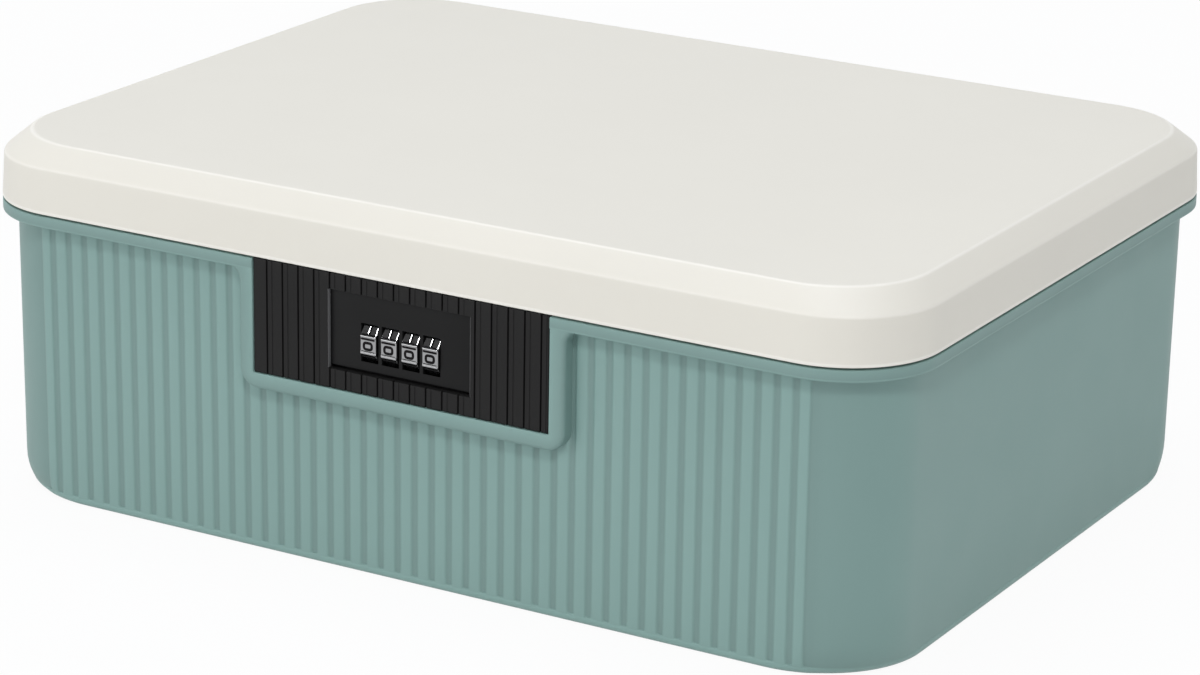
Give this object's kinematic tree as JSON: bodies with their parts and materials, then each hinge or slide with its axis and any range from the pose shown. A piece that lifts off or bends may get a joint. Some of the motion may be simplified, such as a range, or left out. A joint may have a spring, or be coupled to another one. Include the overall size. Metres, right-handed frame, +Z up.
{
  "type": "medication lock box",
  "caption": "Moulded storage box with a hinged lid and a front combination lock with number dials, for keeping medicines locked away.",
  "frame": {"origin": "middle of the flat base of the tub, on the surface that it stands on", "axes": "+Z up, +X to the right as seen from the front, the lock faces -Y and the hinge is at +Y"},
  "size_m": [0.32, 0.2468, 0.116],
  "materials": {
    "sage_plastic": "satin moulded sage-green plastic",
    "cream_plastic": "satin moulded cream plastic",
    "black_plastic": "satin moulded black plastic",
    "smooth_black_plastic": "smooth satin black plastic",
    "inner_black_plastic": "plain moulded black plastic",
    "chrome": "polished chrome plate",
    "steel": "bright steel",
    "brass": "turned brass",
    "zinc_casting": "tumbled zinc die casting"
  },
  "bodies": {
    "tub": {"body_tub": "sage_plastic", "lock_fascia": "black_plastic", "dial_plate": "smooth_black_plastic", "lock_housing": "inner_black_plastic", "lock_rear_cover": "inner_black_plastic", "dial_spindle": "steel", "spindle_clip": "steel", "spindle_collar": "brass", "spindle_spring": "steel", "detent_spring": "steel", "cover_screw_1": "steel", "cover_screw_2": "steel", "cover_screw_3": "steel", "cover_screw_4": "steel", "fascia_screw_1": "steel", "fascia_screw_2": "steel", "fascia_screw_3": "steel", "fascia_screw_4": "steel", "hinge_pin_left": "steel", "hinge_pin_right": "steel"},
    "lid": {"lid_shell": "cream_plastic", "hasp_comb": "zinc_casting", "hasp_screw_1": "steel", "hasp_screw_2": "steel"},
    "dial_1": {"dial_ring_1": "chrome", "code_disc_1": "brass"},
    "dial_2": {"dial_ring_2": "chrome", "code_disc_2": "brass"},
    "dial_3": {"dial_ring_3": "chrome", "code_disc_3": "brass"},
    "dial_4": {"dial_ring_4": "chrome", "code_disc_4": "brass"},
    "reset_lever": {"code_reset_lever": "inner_black_plastic"}
  },
  "joints": [
    {"name": "lid_hinge", "type": "hinge", "parent": "tub", "child": "lid", "pos_m": [0, 0.1236, 0.095], "axis": [-1, 0, 0], "range_deg": [0, 105]},
    {"name": "dial_1_turn", "type": "hinge", "parent": "tub", "child": "dial_1", "pos_m": [-0.0108, -0.11115, 0.0744], "axis": [1, 0, 0], "continuous": true},
    {"name": "dial_2_turn", "type": "hinge", "parent": "tub", "child": "dial_2", "pos_m": [-0.0036, -0.11115, 0.0744], "axis": [1, 0, 0], "continuous": true},
    {"name": "dial_3_turn", "type": "hinge", "parent": "tub", "child": "dial_3", "pos_m": [0.0036, -0.11115, 0.0744], "axis": [1, 0, 0], "continuous": true},
    {"name": "dial_4_turn", "type": "hinge", "parent": "tub", "child": "dial_4", "pos_m": [0.0108, -0.11115, 0.0744], "axis": [1, 0, 0], "continuous": true},
    {"name": "reset_slide", "type": "slide", "parent": "tub", "child": "reset_lever", "axis": [1, 0, 0], "range_m": [0, 0.003]}
  ]
}
